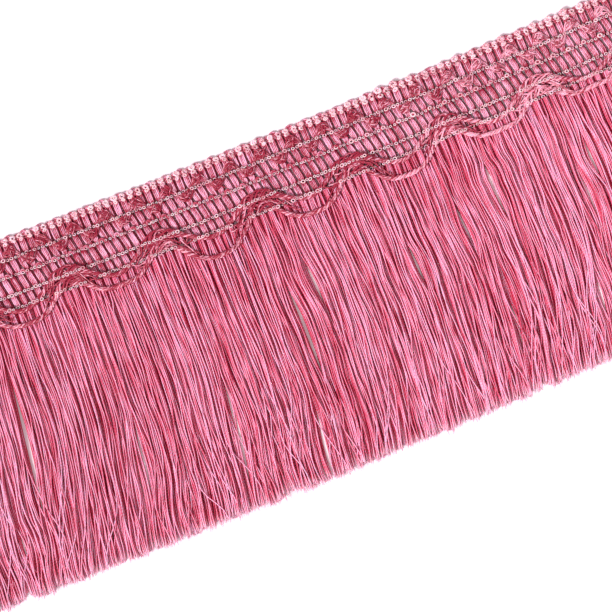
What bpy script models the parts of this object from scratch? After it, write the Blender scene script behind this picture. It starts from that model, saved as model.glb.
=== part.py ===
"""Brush fringe trim: a knitted heading with three gimp cords and a cut yarn fringe, lying flat.

Metres, +Z up. The heading runs along X, its looped edge towards +Y, and the fringe falls
towards -Y. A place on the trim is a station, the distance along the heading from its middle,
and a depth, the distance from the looped edge towards the cut ends. The origin is on the
floor under the middle of the trim.
"""

import math
import random
from collections import namedtuple

import bmesh
import bpy
from mathutils import Vector

MM = 0.001

# Driving dimensions
LENGTH = 300 * MM
CUT_DEPTH = 100.2 * MM
CUT_SLOPE = -0.0143
BOW_RADIUS = 3.76
GAP = 0.3 * MM

# Heading: one weft bar for each lock of fringe, bound by five rows of chain stitches
BARS = 122
BAR_PITCH = LENGTH / BARS
HEADING_DEPTH = 21.8 * MM
LOOP_INSET = 0.35 * MM
RIB_HEIGHT = 1.9 * MM

# A row across the heading: its depth, and its height on a weft bar and between two bars
Row = namedtuple("Row", "depth on_bar between_bars")
HEADING_ROWS = (
    Row(0.0 * MM, 1.1 * MM, 0.8 * MM),
    Row(1.7 * MM, RIB_HEIGHT, 1.5 * MM),
    Row(4.1 * MM, 1.5 * MM, 1.0 * MM),
    Row(6.6 * MM, RIB_HEIGHT, 1.5 * MM),
    Row(9.1 * MM, 1.5 * MM, 1.0 * MM),
    Row(11.6 * MM, RIB_HEIGHT, 1.5 * MM),
    Row(14.2 * MM, 1.5 * MM, 1.0 * MM),
    Row(16.8 * MM, RIB_HEIGHT, 1.5 * MM),
    Row(18.9 * MM, 1.5 * MM, 1.0 * MM),
    Row(20.9 * MM, RIB_HEIGHT, 1.5 * MM),
    Row(HEADING_DEPTH, 1.4 * MM, 1.1 * MM),
)

# Zigzag gimp: a flat floss that turns every second bar
ZIGZAG_WIDTH = 1.6 * MM
ZIGZAG_THICKNESS = 0.8 * MM
ZIGZAG_DEPTH = 6.4 * MM
ZIGZAG_SWING = 1.9 * MM
ZIGZAG_PERIOD = 4 * BAR_PITCH
ZIGZAG_CREST = 14.0 * MM
ZIGZAG_STEPS = 6

# Serpentine gimps: two twisted cords in scallops that hang over the heading's lower edge
SERPENTINE_THICKNESS = 1.5 * MM
SERPENTINE_STEPS = 6
UPPER_CREST_DEPTH = 15.5 * MM
LOWER_CREST_DEPTH = 18.9 * MM
UPPER_FULLNESS = 0.0 * MM
LOWER_FULLNESS = 1.6 * MM

# A scallop: the station of its crest, and how deep each cord hangs before the next crest
Scallop = namedtuple("Scallop", "crest upper_hang lower_hang")
SCALLOPS = (
    Scallop(-150.0 * MM, 21.9 * MM, 26.4 * MM),
    Scallop(-120.5 * MM, 21.7 * MM, 26.0 * MM),
    Scallop(-91.0 * MM, 22.2 * MM, 26.3 * MM),
    Scallop(-61.5 * MM, 22.1 * MM, 25.4 * MM),
    Scallop(-32.5 * MM, 22.0 * MM, 28.0 * MM),
    Scallop(-1.5 * MM, 21.6 * MM, 26.5 * MM),
    Scallop(27.3 * MM, 22.1 * MM, 26.7 * MM),
    Scallop(56.8 * MM, 21.9 * MM, 25.0 * MM),
    Scallop(86.3 * MM, 20.9 * MM, 23.9 * MM),
    Scallop(116.0 * MM, 21.7 * MM, 26.0 * MM),
    Scallop(145.5 * MM, 21.9 * MM, 26.4 * MM),
    Scallop(175.0 * MM, 21.9 * MM, 26.4 * MM),
)

# Fringe: a lock of yarns from each weft bar, rooted in a narrow strip below the heading
STRIP_DEPTH = HEADING_DEPTH + GAP
STRIP_WIDTH = 1.4 * MM
ROOT_DEPTH = STRIP_DEPTH + STRIP_WIDTH
STRIP_HEIGHT = 1.5 * MM
LOCK_WIDTH = 2.05 * MM
LOCK_TOP_SHARE = 0.62
LOCK_SHARES = (0.18, 0.38, 0.58, 0.79, 1.0)
LOCK_HEIGHTS = (1.2 * MM, 1.8 * MM)
TIP_HEIGHT_SHARE = 0.7
TIP_WIDTH_SHARE = 0.85
UNEVEN_CUT = 0.6 * MM
LOCK_SEED = 21

# How far the strands have drifted along the heading at each quarter of their fall
Fall = namedtuple("Fall", "station quarter half three_quarters tip")
FALLS = (
    Fall(-160 * MM, 0.4 * MM, -1.4 * MM, -3.6 * MM, -5.0 * MM),
    Fall(-92 * MM, 0.4 * MM, -1.4 * MM, -4.2 * MM, -6.2 * MM),
    Fall(-75 * MM, 1.3 * MM, 0.2 * MM, -2.9 * MM, -7.2 * MM),
    Fall(-45 * MM, 2.0 * MM, 1.5 * MM, -1.0 * MM, -4.6 * MM),
    Fall(-10 * MM, 2.0 * MM, 2.2 * MM, 0.6 * MM, -2.4 * MM),
    Fall(30 * MM, 2.0 * MM, 2.2 * MM, 0.5 * MM, -3.0 * MM),
    Fall(75 * MM, 1.8 * MM, 1.7 * MM, -0.6 * MM, -4.2 * MM),
    Fall(160 * MM, 1.6 * MM, 1.2 * MM, -1.4 * MM, -5.0 * MM),
)

# Places where neighbouring locks have parted: the gap between two bars, counted in bars from
# the middle of the heading, the depths between which it is open, and its greatest width
Parting = namedtuple("Parting", "gap start end width")
PARTINGS = (
    Parting(-39, 80 * MM, 96 * MM, 1.2 * MM),
    Parting(-36, 36 * MM, 84 * MM, 1.7 * MM),
    Parting(-24, 60 * MM, 92 * MM, 1.4 * MM),
    Parting(-13, 60 * MM, 94 * MM, 1.4 * MM),
    Parting(-4, 76 * MM, 104 * MM, 1.5 * MM),
    Parting(-2, 40 * MM, 74 * MM, 1.4 * MM),
    Parting(1, 36 * MM, 54 * MM, 1.2 * MM),
    Parting(20, 38 * MM, 58 * MM, 1.3 * MM),
    Parting(22, 58 * MM, 92 * MM, 1.3 * MM),
    Parting(25, 30 * MM, 52 * MM, 1.4 * MM),
    Parting(33, 72 * MM, 90 * MM, 1.0 * MM),
    Parting(37, 34 * MM, 52 * MM, 1.2 * MM),
)
PARTING_REACH = 9 * MM

# Colours of the yarn, the floss and the twisted cords
PINK = (0.60, 0.12, 0.22, 1.0)
PALE_PINK = (0.66, 0.20, 0.30, 1.0)
ROSE = (0.36, 0.04, 0.09, 1.0)


def clear_scene():
    for obj in list(bpy.data.objects):
        bpy.data.objects.remove(obj, do_unlink=True)


def new_collection(name):
    collection = bpy.data.collections.new(name)
    bpy.context.scene.collection.children.link(collection)
    return collection


def yarn_material(name, colour, roughness):
    material = bpy.data.materials.new(name)
    material.use_nodes = True
    shader = material.node_tree.nodes["Principled BSDF"]
    shader.inputs["Base Color"].default_value = colour
    shader.inputs["Roughness"].default_value = roughness
    shader.inputs["Metallic"].default_value = 0.0
    return material


def ease(share):
    """Half a cosine wave from 0 to 1."""
    return (1 - math.cos(math.pi * share)) / 2


def lay(station, depth):
    """The x and y of a place on the heading, which lies in a slight bow."""
    return station * (1 + depth / BOW_RADIUS), station**2 / (2 * BOW_RADIUS) - depth


def cut_depth(station):
    return CUT_DEPTH + CUT_SLOPE * station


def falls_at(station):
    """The drift at no, one, two, three and four quarters of the fall, at this station."""
    right = next(index for index, fall in enumerate(FALLS) if fall.station > station)
    before, after = FALLS[right - 1], FALLS[right]
    share = ease((station - before.station) / (after.station - before.station))
    return [0.0] + [a + (b - a) * share for a, b in zip(before[1:], after[1:])]


def drift(station, depth):
    """A smooth curve through the drifts, which leaves the heading straight down."""
    knots = falls_at(station)
    place = 4 * max(0.0, depth - HEADING_DEPTH) / (CUT_DEPTH - HEADING_DEPTH)
    span = min(int(place), 3)
    share = min(place - span, 1.0)
    slopes = [0.0] + [(knots[k + 1] - knots[k - 1]) / 2 for k in (1, 2, 3)] + [knots[4] - knots[3]]
    start, end = knots[span], knots[span + 1]
    return (
        start * (1 + 2 * share) * (1 - share) ** 2
        + end * share**2 * (3 - 2 * share)
        + slopes[span] * share * (1 - share) ** 2
        - slopes[span + 1] * share**2 * (1 - share)
    )


def parted(station, depth):
    """How far the partings near a strand push it aside."""
    push = 0.0
    for parting in PARTINGS:
        share = (depth - parting.start) / (parting.end - parting.start)
        if 0 < share < 1:
            aside = station - parting.gap * BAR_PITCH
            opening = parting.width / 2 * math.sin(math.pi * share)
            push += math.copysign(opening * math.exp(-abs(aside) / PARTING_REACH), aside)
    return push


def fall(station, depth):
    """The x and y of a place on the fringe."""
    x, y = lay(station, depth)
    return x + drift(station, depth) + parted(station, depth), y


def mesh_object(name, mesh, collection, material):
    bmesh.ops.recalc_face_normals(mesh, faces=mesh.faces)
    data = bpy.data.meshes.new(name)
    mesh.to_mesh(data)
    mesh.free()
    data.materials.append(material)
    obj = bpy.data.objects.new(name, data)
    collection.objects.link(obj)
    return obj


def make_heading(collection, material):
    """A flat band with a rib for each weft bar and a higher one under each row of chain."""
    mesh = bmesh.new()
    columns = 2 * BARS
    rows = len(HEADING_ROWS) - 1
    bmesh.ops.create_grid(mesh, x_segments=columns, y_segments=rows, size=0.5)
    for vertex in mesh.verts:
        column = round((vertex.co.x + 0.5) * columns)
        row = HEADING_ROWS[round((0.5 - vertex.co.y) * rows)]
        on_bar = column % 2 == 1
        depth = row.depth if on_bar or row.depth else LOOP_INSET
        x, y = lay((column - BARS) * BAR_PITCH / 2, depth)
        vertex.co = (x, y, row.on_bar if on_bar else row.between_bars)
    rim = [edge for edge in mesh.edges if edge.is_boundary]
    wall = bmesh.ops.extrude_edge_only(mesh, edges=rim)["geom"]
    for vertex in (item for item in wall if isinstance(item, bmesh.types.BMVert)):
        vertex.co.z = 0.0
    bmesh.ops.holes_fill(mesh, edges=[edge for edge in mesh.edges if edge.is_boundary])
    return mesh_object("heading", mesh, collection, material)


def make_profile(name, width, thickness, sides, collection):
    """A gimp's section with one side facing up, as a guide for the gimp's curve."""
    curve = bpy.data.curves.new(name, "CURVE")
    curve.dimensions = "2D"
    spline = curve.splines.new("POLY")
    spline.points.add(sides - 1)
    spline.use_cyclic_u = True
    reach = 1 / math.cos(math.pi / sides)
    for index, point in enumerate(spline.points):
        angle = math.pi / 2 - 2 * math.pi * (index + 0.5) / sides
        x = reach * width / 2 * math.cos(angle)
        y = reach * thickness / 2 * math.sin(angle)
        point.co = (x, y, 0.0, 1.0)
    guide = bpy.data.objects.new(name, curve)
    guide.hide_render = True
    guide.display_type = "WIRE"
    collection.objects.link(guide)
    return guide


def make_gimp(name, route, profile, height, collection, material):
    """A cord that lies on the heading's ribs along a route of stations and depths."""
    curve = bpy.data.curves.new(name, "CURVE")
    curve.dimensions = "3D"
    curve.twist_mode = "Z_UP"
    curve.bevel_mode = "OBJECT"
    curve.bevel_object = profile
    curve.use_fill_caps = True
    spline = curve.splines.new("POLY")
    spline.points.add(len(route) - 1)
    for point, (station, depth) in zip(spline.points, route):
        x, y = lay(station, depth)
        point.co = (x, y, height, 1.0)
    curve.materials.append(material)
    obj = bpy.data.objects.new(name, curve)
    collection.objects.link(obj)
    return obj


def zigzag_route():
    """Straight legs with short rounded turns, over the whole length of the heading."""
    route = []
    first = math.ceil((-LENGTH / 2 - ZIGZAG_CREST) / ZIGZAG_PERIOD * ZIGZAG_STEPS)
    last = math.floor((LENGTH / 2 - ZIGZAG_CREST) / ZIGZAG_PERIOD * ZIGZAG_STEPS)
    for step in range(first, last + 1):
        phase = step / ZIGZAG_STEPS
        swing = ZIGZAG_SWING * math.cos(2 * math.pi * phase)
        route.append((ZIGZAG_CREST + phase * ZIGZAG_PERIOD, ZIGZAG_DEPTH - swing))
    return route


def serpentine_route(crest_depth, hang, fullness):
    """Half waves from each crest down to the scallop's hang and up to the next crest.

    The fullness is how far a cord sags below its wave half way, which rounds the scallops.
    """
    route = []
    for scallop, following in zip(SCALLOPS, SCALLOPS[1:]):
        width = following.crest - scallop.crest
        low = getattr(scallop, hang)
        for step in range(2 * SERPENTINE_STEPS):
            share = step / SERPENTINE_STEPS
            sag = fullness * math.sin(math.pi * share) ** 2
            depth = crest_depth + (low - crest_depth) * ease(share) + sag
            route.append((scallop.crest + width * share / 2, depth))
    end = LENGTH / 2
    return [(station, depth) for station, depth in route if -end <= station <= end]


def make_gimps(parts, guides):
    floss = yarn_material("rose_floss", PALE_PINK, 0.40)
    cord = yarn_material("rose_cord", ROSE, 0.42)
    flat = make_profile("zigzag_profile", ZIGZAG_WIDTH, ZIGZAG_THICKNESS, 4, guides)
    round_profile = make_profile(
        "cord_profile", SERPENTINE_THICKNESS, SERPENTINE_THICKNESS, 6, guides
    )
    floor = RIB_HEIGHT + GAP
    zigzag_height = floor + ZIGZAG_THICKNESS / 2
    cord_height = floor + SERPENTINE_THICKNESS / 2
    upper = serpentine_route(UPPER_CREST_DEPTH, "upper_hang", UPPER_FULLNESS)
    lower = serpentine_route(LOWER_CREST_DEPTH, "lower_hang", LOWER_FULLNESS)
    return [
        make_gimp("zigzag_gimp", zigzag_route(), flat, zigzag_height, parts, floss),
        make_gimp("serpentine_upper", upper, round_profile, cord_height, parts, cord),
        make_gimp("serpentine_lower", lower, round_profile, cord_height, parts, cord),
    ]


def station_pair(mesh, station, depth):
    """A point on the floor and the one above it, on one edge of the fringe's root strip."""
    x, y = lay(station, depth)
    return mesh.verts.new((x, y, 0.0)), mesh.verts.new((x, y, STRIP_HEIGHT))


def add_lock(mesh, root, middle, rng):
    """A tapered lock with a flat underside, lofted from its root down to its cut end."""
    height = rng.uniform(*LOCK_HEIGHTS)
    end = cut_depth(middle) + rng.uniform(-UNEVEN_CUT, UNEVEN_CUT)
    ring = root
    for share in LOCK_SHARES:
        depth = ROOT_DEPTH + (end - ROOT_DEPTH) * share
        half = LOCK_WIDTH / 2 * (1 - (1 - TIP_WIDTH_SHARE) * share)
        top = half * LOCK_TOP_SHARE
        level = height * (1 - (1 - TIP_HEIGHT_SHARE) * share)
        corners = ((-half, 0.0), (half, 0.0), (top, level), (-top, level))
        following = []
        for aside, z in corners:
            x, y = fall(middle + aside, depth)
            following.append(mesh.verts.new((x, y, z)))
        for side in range(4):
            beside = (side + 1) % 4
            mesh.faces.new((ring[side], ring[beside], following[beside], following[side]))
        ring = following
    mesh.faces.new(ring)


def make_fringe(collection, material):
    """The root strip, a box with a station at both edges of each lock, and the locks."""
    mesh = bmesh.new()
    rng = random.Random(LOCK_SEED)
    middles = [(bar + 0.5 - BARS / 2) * BAR_PITCH for bar in range(BARS)]
    half = LOCK_WIDTH / 2
    stations = [edge for middle in middles for edge in (middle - half, middle + half)]
    upper = [station_pair(mesh, station, STRIP_DEPTH) for station in stations]
    lower = [station_pair(mesh, station, ROOT_DEPTH) for station in stations]
    for index in range(len(stations) - 1):
        beside = index + 1
        mesh.faces.new((upper[index][0], upper[beside][0], upper[beside][1], upper[index][1]))
        mesh.faces.new((upper[index][0], upper[beside][0], lower[beside][0], lower[index][0]))
        mesh.faces.new((upper[index][1], upper[beside][1], lower[beside][1], lower[index][1]))
        if index % 2:
            mesh.faces.new((lower[index][0], lower[beside][0], lower[beside][1], lower[index][1]))
    for end in (0, -1):
        mesh.faces.new((upper[end][0], upper[end][1], lower[end][1], lower[end][0]))
    for bar, middle in enumerate(middles):
        left, right = lower[2 * bar], lower[2 * bar + 1]
        add_lock(mesh, (left[0], right[0], right[1], left[1]), middle, rng)
    return mesh_object("fringe", mesh, collection, material)


def box_of(objects):
    """The lowest and highest corners of the finished shapes."""
    graph = bpy.context.evaluated_depsgraph_get()
    points = []
    for obj in objects:
        shown = obj.evaluated_get(graph)
        mesh = shown.to_mesh()
        points += [obj.matrix_world @ vertex.co for vertex in mesh.vertices]
        shown.to_mesh_clear()
    lowest = Vector(map(min, zip(*points)))
    highest = Vector(map(max, zip(*points)))
    return lowest, highest


def centre_on_floor(objects, collection):
    """Hangs the pieces from an empty that brings the middle of their underside to the origin."""
    lowest, highest = box_of(objects)
    middle = (lowest + highest) / 2
    frame = bpy.data.objects.new("trim_frame", None)
    frame.location = (-middle.x, -middle.y, -lowest.z)
    collection.objects.link(frame)
    for obj in objects:
        obj.parent = frame


def main():
    clear_scene()
    parts = new_collection("fringe_trim")
    guides = new_collection("guides")
    yarn = yarn_material("pink_yarn", PINK, 0.45)
    pieces = [make_heading(parts, yarn)]
    pieces += make_gimps(parts, guides)
    pieces.append(make_fringe(parts, yarn))
    centre_on_floor(pieces, parts)


main()
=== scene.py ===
"""Looks of the brush fringe trim: every weft yarn, chain stitch, gimp and fringe strand.

A place on the trim is a station, the distance along the heading from its middle, and a depth,
the distance from the looped edge towards the cut ends.
"""

import math
import random
from collections import namedtuple

import bpy
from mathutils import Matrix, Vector, noise


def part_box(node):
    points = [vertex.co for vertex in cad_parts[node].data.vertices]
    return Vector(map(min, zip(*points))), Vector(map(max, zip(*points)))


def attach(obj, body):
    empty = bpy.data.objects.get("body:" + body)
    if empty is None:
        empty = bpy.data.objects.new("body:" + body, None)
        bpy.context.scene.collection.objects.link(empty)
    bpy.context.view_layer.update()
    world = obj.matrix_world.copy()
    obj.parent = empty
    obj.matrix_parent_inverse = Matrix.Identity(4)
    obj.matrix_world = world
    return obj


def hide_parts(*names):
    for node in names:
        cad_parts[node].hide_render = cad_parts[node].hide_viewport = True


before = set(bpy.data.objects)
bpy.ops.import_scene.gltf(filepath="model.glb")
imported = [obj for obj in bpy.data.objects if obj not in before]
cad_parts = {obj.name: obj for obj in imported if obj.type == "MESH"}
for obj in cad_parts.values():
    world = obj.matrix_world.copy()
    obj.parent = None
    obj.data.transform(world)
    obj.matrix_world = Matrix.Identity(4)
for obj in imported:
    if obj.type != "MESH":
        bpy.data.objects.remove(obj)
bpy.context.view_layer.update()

MM = 0.001

# Sizes that the solids have too
LENGTH = 300 * MM
CUT_DEPTH = 100.2 * MM
CUT_SLOPE = -0.0143
BOW_RADIUS = 3.76
BARS = 122
BAR_PITCH = LENGTH / BARS
HEADING_DEPTH = 21.8 * MM

# Where the solids lie: the heading is even about station 0, and its lower edge is lowest there
HEADING_LOW, HEADING_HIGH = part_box("heading")
SHIFT_X = (HEADING_LOW[0] + HEADING_HIGH[0]) / 2
SHIFT_Y = HEADING_LOW[1] + HEADING_DEPTH

# Weft: the yarns of a bar on the face and on the back, pressed in under each chain row
FACE_YARNS = (-0.66 * MM, -0.22 * MM, 0.22 * MM, 0.66 * MM)
BACK_YARNS = (-0.60 * MM, -0.21 * MM, 0.20 * MM, 0.61 * MM)
BACK_ASIDE = 0.50 * MM
WEFT_RADIUS = 0.26 * MM
EDGE_YARN_RADIUS = 0.33 * MM
LOOP_RADIUS = 0.27 * MM
ARCH_RADIUS = 0.23 * MM
ARC_STEPS = 8
WEFT_TOP_DEPTH = 1.7 * MM
EDGE_DEPTHS = (1.0 * MM, 1.6 * MM, 2.2 * MM)
FACE_HEIGHT = 1.24 * MM
BACK_HEIGHT = 0.42 * MM
# Painted shade on the back yarns, which lie under the face yarns and show only in the gaps
BACK_SHADE = 0.65
BACK_SEED = 3
FACE_SEED = 5
PINCH = 0.55 * MM
PRESSED_SHARE = 0.74
PUFF = 0.22 * MM
PRESS = 0.70 * MM
ARCH_DEPTH = 10.9 * MM
ARCH_PUSH = 0.38 * MM

# How far the bars have slipped along the heading on their way down
Slip = namedtuple("Slip", "depth aside")
SLIPS = (
    Slip(0.0 * MM, 0.0 * MM),
    Slip(4.0 * MM, 0.0 * MM),
    Slip(6.6 * MM, 0.15 * MM),
    Slip(11.6 * MM, 0.85 * MM),
    Slip(16.8 * MM, 1.60 * MM),
    Slip(20.9 * MM, 1.95 * MM),
    Slip(23.5 * MM, 2.00 * MM),
)

# Chain rows: the depth of each, and whether its stitches stand in arches
ChainRow = namedtuple("ChainRow", "depth arched")
CHAIN_ROWS = (
    ChainRow(6.6 * MM, False),
    ChainRow(11.5 * MM, True),
    ChainRow(16.8 * MM, False),
    ChainRow(20.9 * MM, False),
)
THREAD_RADIUS = 0.22 * MM
SURFACE = 1.55 * MM

# Stitches: each is one loop of thread, so long and so wide over all
StitchShape = namedtuple("StitchShape", "name length width thread around sides")
RING = StitchShape("ring", 1.38 * MM, 1.10 * MM, 0.21 * MM, 10, 4)
PEARL = StitchShape("pearl", 1.08 * MM, 0.95 * MM, 0.18 * MM, 8, 4)
CROWN = StitchShape("crown", 2.05 * MM, 1.60 * MM, 0.36 * MM, 12, 6)
FOOT = StitchShape("foot", 1.75 * MM, 1.20 * MM, 0.33 * MM, 10, 6)

# Selvedge stitches: how deep and how high they lie, and how much lower the smaller ones are
CROWN_DEPTH = 1.10 * MM
CROWN_HEIGHT = 1.45 * MM
CROWN_LOWERED = 2.0 * MM
FOOT_DEPTH = 2.20 * MM
FOOT_HEIGHT = 1.55 * MM
LOOP_FOOT_DEPTH = 2.4 * MM

# Threads that run along the selvedge: how deep each lies, and how far it swings to the stitches
EdgeThread = namedtuple("EdgeThread", "depth swing")
EDGE_THREADS = (
    EdgeThread(1.05 * MM, 0.30 * MM),
    EdgeThread(2.05 * MM, -0.25 * MM),
)
THREAD_STEPS = 6

# Zigzag gimp: soft floss that spreads where it turns
ZIGZAG_DEPTH = 6.4 * MM
ZIGZAG_SWING = 1.9 * MM
ZIGZAG_PERIOD = 4 * BAR_PITCH
ZIGZAG_CREST = 14.0 * MM
ZIGZAG_HEIGHT = 1.95 * MM
ZIGZAG_STEPS = 20
FLOSS_STRANDS = 12
FLOSS_HALF_WIDTH = 0.50 * MM
FLOSS_SPREAD = 0.85 * MM
FLOSS_TINTS = (0.15, 0.80, 0.05, 0.35)
FLOSS_RADIUS = 0.23 * MM
STROKES = 9
STROKE_RADIUS = 0.19 * MM

# Serpentine gimps: loosely twisted plies, dyed a little deeper in the upper cord
CORD_HEIGHT = 2.45 * MM
CORD_RADIUS = 0.50 * MM
CREST_SPREAD = 0.75 * MM
PLY_RADIUS = 0.33 * MM
PLY_TINTS = (0.15, 0.75, 0.35, 0.45, 0.05, 0.70)
PLY_TURN = 4.0 * MM
TANGLED_STRANDS = 34
TANGLED_RADIUS = 0.23 * MM
CORD_STEP = 0.75 * MM
NEARBY = 0.3 * MM
UPPER_CREST_DEPTH = 15.5 * MM
LOWER_CREST_DEPTH = 18.9 * MM
UPPER_FULLNESS = 0.0 * MM
LOWER_FULLNESS = 1.6 * MM
UPPER_DYE = 0.20
LOWER_DYE = -0.10
Scallop = namedtuple("Scallop", "crest upper_hang lower_hang")
SCALLOPS = (
    Scallop(-150.0 * MM, 21.9 * MM, 26.4 * MM),
    Scallop(-120.5 * MM, 21.7 * MM, 26.0 * MM),
    Scallop(-91.0 * MM, 22.2 * MM, 26.3 * MM),
    Scallop(-61.5 * MM, 22.1 * MM, 25.4 * MM),
    Scallop(-32.5 * MM, 22.0 * MM, 28.0 * MM),
    Scallop(-1.5 * MM, 21.6 * MM, 26.5 * MM),
    Scallop(27.3 * MM, 22.1 * MM, 26.7 * MM),
    Scallop(56.8 * MM, 21.9 * MM, 25.0 * MM),
    Scallop(86.3 * MM, 20.9 * MM, 23.9 * MM),
    Scallop(116.0 * MM, 21.7 * MM, 26.0 * MM),
    Scallop(145.5 * MM, 21.9 * MM, 26.4 * MM),
    Scallop(175.0 * MM, 21.9 * MM, 26.4 * MM),
)

# Fringe strands, in three layers: across a bar, how much the strands spread and stray on their way
# down, and how far they feel the partings
Layer = namedtuple("Layer", "offsets radius spread jitter waviness felt astray")
FALL_TOP = 21.3 * MM
FALL_STEPS = 30
STRAND_RADIUS = 0.25 * MM
STRAY_RADIUS = 0.17 * MM
BACK_STRANDS = (-0.98 * MM, -0.49 * MM, 0.0 * MM, 0.50 * MM, 0.98 * MM)
FACE_STRANDS = (-0.77 * MM, -0.46 * MM, -0.15 * MM, 0.16 * MM, 0.46 * MM, 0.77 * MM)
TOP_STRANDS = (-0.58 * MM, -0.19 * MM, 0.20 * MM, 0.58 * MM)
LAYERS = (
    Layer(BACK_STRANDS, 0.36 * MM, 0.10, 0.05 * MM, 0.08 * MM, 0.1, 0.0),
    Layer(FACE_STRANDS, STRAND_RADIUS, 0.33, 0.32 * MM, 0.38 * MM, 1.0, 0.12),
    Layer(TOP_STRANDS, STRAND_RADIUS, 0.60, 0.50 * MM, 0.66 * MM, 1.0, 0.38),
)
UNEVEN_CUT = 0.8 * MM
CLUMPED_CUT = 1.6 * MM
PILE_LIMIT = 2.4 * MM
FRAY = 2.2 * MM
THIN_SHARE = 0.28
WISPS = 2
WISP_RADII = (0.10 * MM, 0.08 * MM, 0.03 * MM)
WISP_FRAY = 4 * MM
STRAND_SEED = 7
Fall = namedtuple("Fall", "station quarter half three_quarters tip")
FALLS = (
    Fall(-160 * MM, 0.4 * MM, -1.4 * MM, -3.6 * MM, -5.0 * MM),
    Fall(-92 * MM, 0.4 * MM, -1.4 * MM, -4.2 * MM, -6.2 * MM),
    Fall(-75 * MM, 1.3 * MM, 0.2 * MM, -2.9 * MM, -7.2 * MM),
    Fall(-45 * MM, 2.0 * MM, 1.6 * MM, -0.5 * MM, -3.6 * MM),
    Fall(-10 * MM, 2.0 * MM, 2.3 * MM, 1.2 * MM, -1.0 * MM),
    Fall(30 * MM, 2.0 * MM, 2.3 * MM, 1.0 * MM, -1.8 * MM),
    Fall(75 * MM, 1.8 * MM, 1.7 * MM, -0.6 * MM, -4.2 * MM),
    Fall(160 * MM, 1.6 * MM, 1.2 * MM, -1.4 * MM, -5.0 * MM),
)

# Partings: where along the heading, between which depths, how wide, and how far they are felt
Parting = namedtuple("Parting", "station start end width reach")
GREAT_REACH = 9 * MM
GREAT_PARTINGS = (
    Parting(-39 * BAR_PITCH, 80 * MM, 96 * MM, 1.82 * MM, GREAT_REACH),
    Parting(-36 * BAR_PITCH, 36 * MM, 84 * MM, 2.22 * MM, GREAT_REACH),
    Parting(-24 * BAR_PITCH, 60 * MM, 92 * MM, 2.02 * MM, GREAT_REACH),
    Parting(-20 * BAR_PITCH, 84 * MM, 100 * MM, 1.50 * MM, GREAT_REACH),
    Parting(-13 * BAR_PITCH, 60 * MM, 94 * MM, 2.02 * MM, GREAT_REACH),
    Parting(-4 * BAR_PITCH, 76 * MM, 104 * MM, 2.12 * MM, GREAT_REACH),
    Parting(-2 * BAR_PITCH, 40 * MM, 74 * MM, 2.02 * MM, GREAT_REACH),
    Parting(-1 * BAR_PITCH, 84 * MM, 102 * MM, 1.50 * MM, GREAT_REACH),
    Parting(1 * BAR_PITCH, 36 * MM, 54 * MM, 1.87 * MM, GREAT_REACH),
    Parting(13 * BAR_PITCH, 44 * MM, 60 * MM, 1.50 * MM, GREAT_REACH),
    Parting(20 * BAR_PITCH, 38 * MM, 58 * MM, 1.92 * MM, GREAT_REACH),
    Parting(22 * BAR_PITCH, 58 * MM, 92 * MM, 1.92 * MM, GREAT_REACH),
    Parting(25 * BAR_PITCH, 30 * MM, 52 * MM, 1.80 * MM, GREAT_REACH),
    Parting(25 * BAR_PITCH, 33 * MM, 38 * MM, 1.26 * MM, GREAT_REACH),
    Parting(33 * BAR_PITCH, 72 * MM, 90 * MM, 1.77 * MM, GREAT_REACH),
    Parting(35 * BAR_PITCH, 42 * MM, 62 * MM, 1.50 * MM, GREAT_REACH),
    Parting(37 * BAR_PITCH, 34 * MM, 52 * MM, 1.87 * MM, GREAT_REACH),
)
SMALL_PARTINGS = 480

# Colours, as linear light
# Each fibre is drawn between its deep and its pale colour, by its random tint and by painted light: paler
# on top, deeper in shade
DEEP_PINK = (0.55, 0.019, 0.072, 1.0)
PALE_PINK = (0.93, 0.400, 0.600, 1.0)
DEEP_WEFT = (0.38, 0.018, 0.055, 1.0)
PALE_WEFT = (0.88, 0.390, 0.560, 1.0)
# Painted shade: the near-black crimson that deep creases, holes and the gaps behind and under things are
# drawn in
PAINTED_CREASE_SHADE = (0.11, 0.004, 0.016, 1.0)
CUT_END_PINK = (0.94, 0.52, 0.66, 1.0)
DEEP_FLOSS = (0.33, 0.012, 0.042, 1.0)
PALE_FLOSS = (0.94, 0.38, 0.50, 1.0)
DEEP_THREAD = (0.52, 0.10, 0.16, 1.0)
PALE_THREAD = (0.95, 0.62, 0.69, 1.0)
PALE_FLOOR = (0.90, 0.76, 0.83, 1.0)

# How fibres shine, and how light glows through them
FIBRE_SPECULAR = 0.45
GLOW = 0.3
GLOW_COLOURS = (1.0, 0.12, 0.22)
GLOW_DEPTH = 0.5 * MM
RELIEF_STRENGTH = 0.8

# Camera, light and floor
VIEW_TILT = math.radians(21.9)
VIEW_DEPTH = 51.0 * MM
VIEW_WIDTH = 180 * MM
LENS = 100
SENSOR = 36
SKY = (1.0, 0.98, 0.98, 1.0)
SKY_STRENGTH = 0.62
Lamp = namedtuple("Lamp", "name source energy angle")
LAMPS = (
    Lamp("key", (-0.62, -0.26, 0.74), 3.5, 14),
    Lamp("overhead", (-0.08, 0.0, 1.0), 0.3, 25),
)

# A yarn: its points, the radius at each, how pale it is, and how dark it is drawn at each point, largely
# painted shade with some random darker tone
Yarn = namedtuple("Yarn", "points radii tint shades", defaults=(None,))


def ease(share):
    """Half a cosine wave from 0 to 1."""
    return (1 - math.cos(math.pi * share)) / 2


def eased_rise(place, start, length):
    """0 up to the start, and 1 from start + length on."""
    return ease(min(1.0, max(0.0, (place - start) / length)))


def nearness(distance, reach):
    """1 at no distance, falling to 0 at the reach."""
    return max(0.0, 1 - distance / reach)


def between(rows, place, start, value):
    """The value at a place in a table, eased from one row to the next."""
    if place <= start(rows[0]):
        return value(rows[0])
    for before, after in zip(rows, rows[1:]):
        if place <= start(after):
            share = (place - start(before)) / (start(after) - start(before))
            return value(before) + (value(after) - value(before)) * ease(share)
    return value(rows[-1])


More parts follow.
